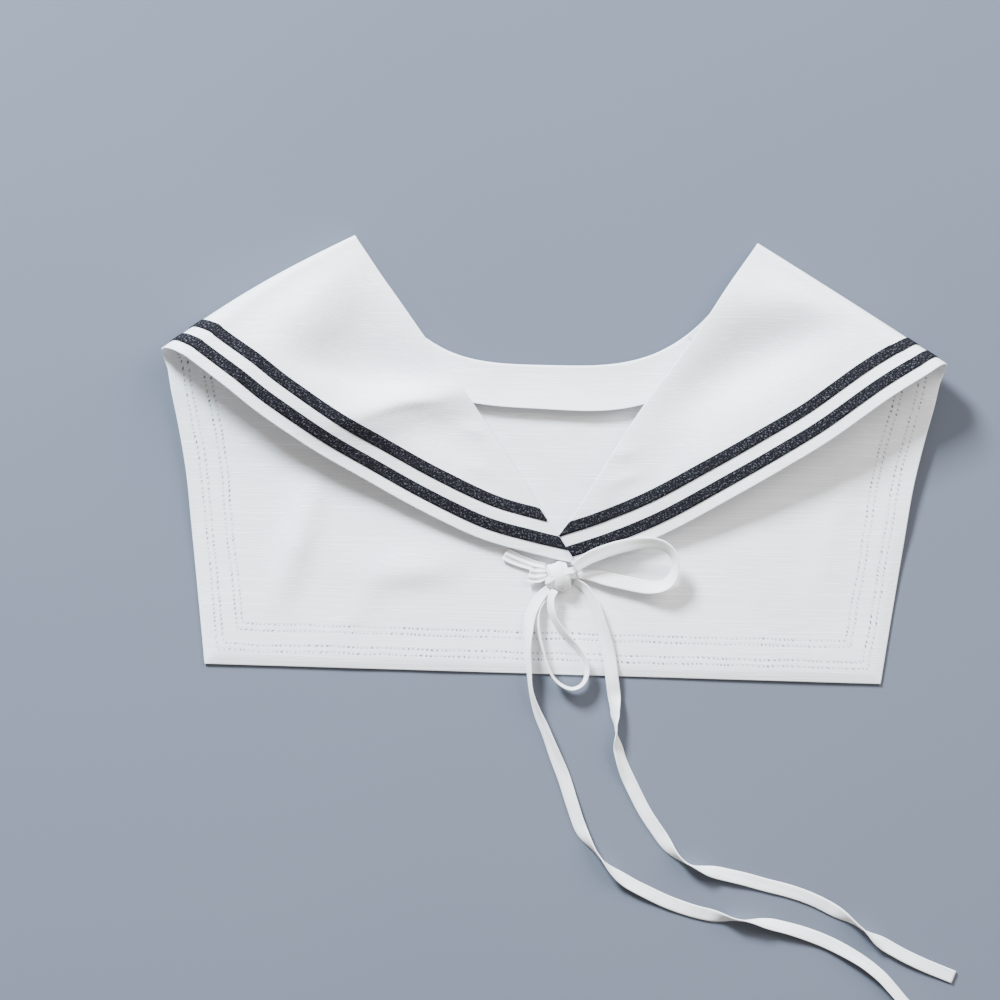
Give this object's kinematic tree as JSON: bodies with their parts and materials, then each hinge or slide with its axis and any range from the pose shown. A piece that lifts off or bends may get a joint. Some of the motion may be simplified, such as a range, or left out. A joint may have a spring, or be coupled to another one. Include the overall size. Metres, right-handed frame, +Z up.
{
  "type": "sailor collar",
  "caption": "White cotton sailor collar lying folded at the shoulders, with navy tapes along its hem, a neck band and its ties in a bow.",
  "frame": {"origin": "on the table under the middle of the collar, without its ties", "axes": "+Z up from the table, +Y towards the neck, +X to the right of someone who looks down on it"},
  "size_m": [0.4025, 0.3899, 0.0263],
  "materials": {
    "white_cotton": "matte slub cotton",
    "navy_tape": "ribbed woven tape",
    "white_tie": "matte folded cotton strip"
  },
  "bodies": {
    "root": {"collar_body": "white_cotton", "neck_band": "white_cotton", "stripe_outer": "navy_tape", "stripe_inner": "navy_tape", "tie_root": "white_tie", "tie_knot": "white_tie", "bow_end": "white_tie", "bow_loop_right": "white_tie", "bow_loop_lower": "white_tie", "tie_tail_left": "white_tie", "tie_tail_right": "white_tie"}
  },
  "joints": []
}
